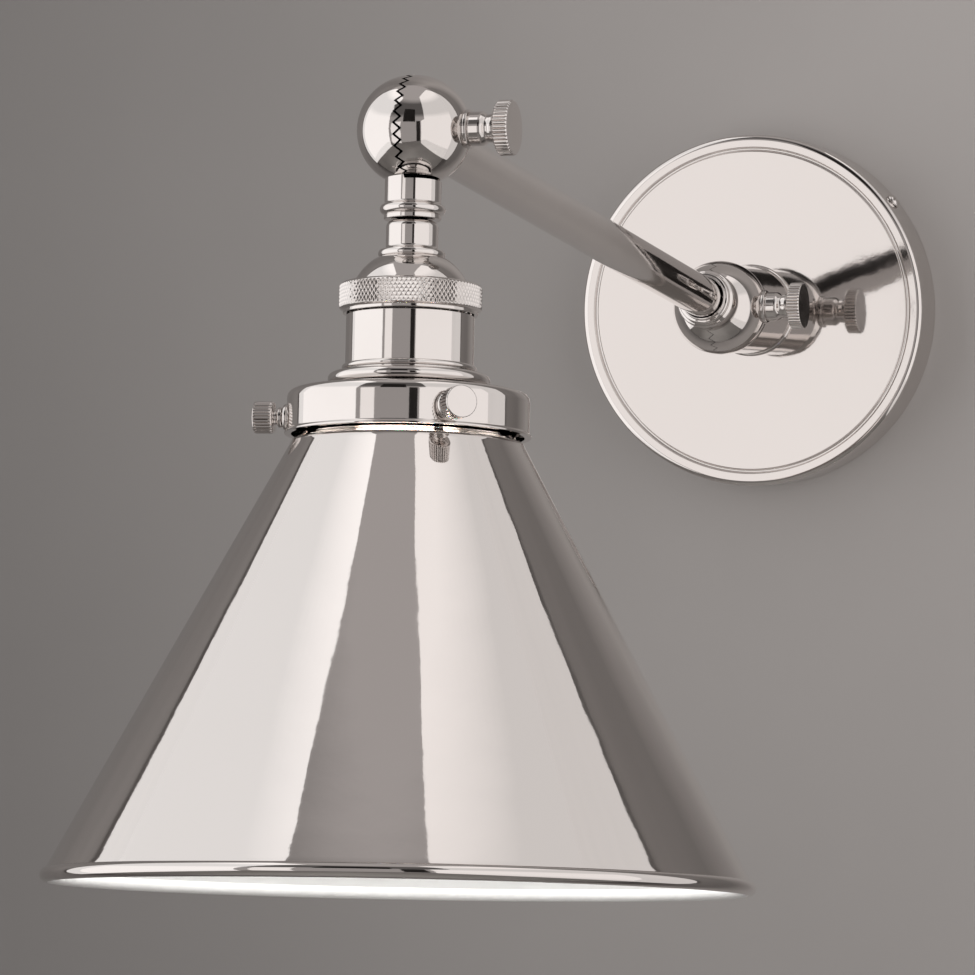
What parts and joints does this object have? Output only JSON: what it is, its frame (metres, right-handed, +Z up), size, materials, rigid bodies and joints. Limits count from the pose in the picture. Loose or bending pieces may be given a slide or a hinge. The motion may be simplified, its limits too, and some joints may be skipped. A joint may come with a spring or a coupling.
{
  "type": "swing arm wall sconce",
  "caption": "Swing arm wall light with a conical metal shade on a toothed ball joint at the end of a straight tubular arm, which tilts and swivels on a round wall plate.",
  "frame": {"origin": "centre of the wall plate's rear face, on the wall", "axes": "+Z up, the room on the -Y side so the light reaches out along -Y, +X to the right as seen from the room; the wall is the plane y = 0"},
  "size_m": [0.1878, 0.4872, 0.2274],
  "materials": {
    "polished_nickel": "polished nickel plate on brass and steel, mirror bright",
    "nickel_shade": "polished nickel plate outside, white enamel inside",
    "zinc_steel": "zinc-plated steel, satin",
    "ground_green": "green passivated steel",
    "brass": "plain machined brass",
    "aluminium": "rolled bulb base, bright",
    "porcelain": "white glazed porcelain",
    "opal_glass": "frosted white lamp glass"
  },
  "bodies": {
    "wall": {"backplate": "polished_nickel", "mounting_pan": "zinc_steel", "side_screw_1": "polished_nickel", "side_screw_2": "polished_nickel", "box_screw_1": "zinc_steel", "box_screw_2": "zinc_steel", "ground_screw": "ground_green"},
    "hub": {"threaded_nipple": "zinc_steel", "friction_washer": "brass", "hex_nut": "brass", "swivel_ring": "polished_nickel", "hub_neck": "polished_nickel", "wall_joint_fixed_half": "polished_nickel", "wall_joint_stud": "zinc_steel"},
    "arm": {"wall_joint_arm_half": "polished_nickel", "wall_joint_washer": "polished_nickel", "wall_collar": "polished_nickel", "arm_tube": "polished_nickel", "shade_collar": "polished_nickel", "shade_joint_arm_half": "polished_nickel", "shade_joint_washer": "polished_nickel"},
    "lamp": {"shade_joint_stem_half": "polished_nickel", "shade_joint_stud": "zinc_steel", "stem": "polished_nickel", "stem_coupling": "polished_nickel", "socket_cap": "polished_nickel", "knurled_ring": "polished_nickel", "socket_shell": "polished_nickel", "shell_bead": "polished_nickel", "upper_fitter_ring": "polished_nickel", "lower_fitter_ring": "brass", "socket_core": "porcelain", "line_terminal_screw": "brass", "neutral_terminal_screw": "brass", "screw_shell": "brass", "centre_contact": "brass", "bulb_tip": "brass", "bulb_base": "aluminium", "bulb_glass": "opal_glass", "shade_fitter": "polished_nickel", "fitter_boss_1": "polished_nickel", "fitter_boss_2": "polished_nickel", "fitter_boss_3": "polished_nickel", "shade": "nickel_shade"},
    "wall_knob": {"wall_joint_knob": "polished_nickel"},
    "shade_knob": {"shade_joint_knob": "polished_nickel"},
    "screw_1": {"thumbscrew_1": "polished_nickel"},
    "screw_2": {"thumbscrew_2": "polished_nickel"},
    "screw_3": {"thumbscrew_3": "polished_nickel"}
  },
  "joints": [
    {"name": "hub_swivel", "type": "hinge", "parent": "wall", "child": "hub", "pos_m": [0, 0, 0], "axis": [0, -1, 0], "range_deg": [-90, 90]},
    {"name": "arm_pitch", "type": "hinge", "parent": "hub", "child": "arm", "pos_m": [0, -0.056, 0], "axis": [-1, 0, 0], "range_deg": [-48, 48]},
    {"name": "shade_tilt", "type": "hinge", "parent": "arm", "child": "lamp", "pos_m": [0, -0.36136, 0.0402], "axis": [-1, 0, 0], "range_deg": [-12, 84]},
    {"name": "wall_knob_turn", "type": "hinge", "parent": "arm", "child": "wall_knob", "pos_m": [0.024, -0.056, 0], "axis": [1, 0, 0], "range_deg": [0, 360]},
    {"name": "shade_knob_turn", "type": "hinge", "parent": "arm", "child": "shade_knob", "pos_m": [0.025, -0.36136, 0.0402], "axis": [1, 0, 0], "range_deg": [0, 360]},
    {"name": "thumbscrew_1_turn", "type": "hinge", "parent": "lamp", "child": "screw_1", "pos_m": [0.02155, -0.39745, -0.03288], "axis": [0.6157, -0.7829, 0.0892], "range_deg": [0, 360]},
    {"name": "thumbscrew_2_turn", "type": "hinge", "parent": "lamp", "child": "screw_2", "pos_m": [0.01311, -0.33781, -0.03968], "axis": [0.3746, 0.9212, -0.105], "range_deg": [0, 360]},
    {"name": "thumbscrew_3_turn", "type": "hinge", "parent": "lamp", "child": "screw_3", "pos_m": [-0.03466, -0.37489, -0.03545], "axis": [-0.9903, -0.1383, 0.0158], "range_deg": [0, 360]}
  ]
}
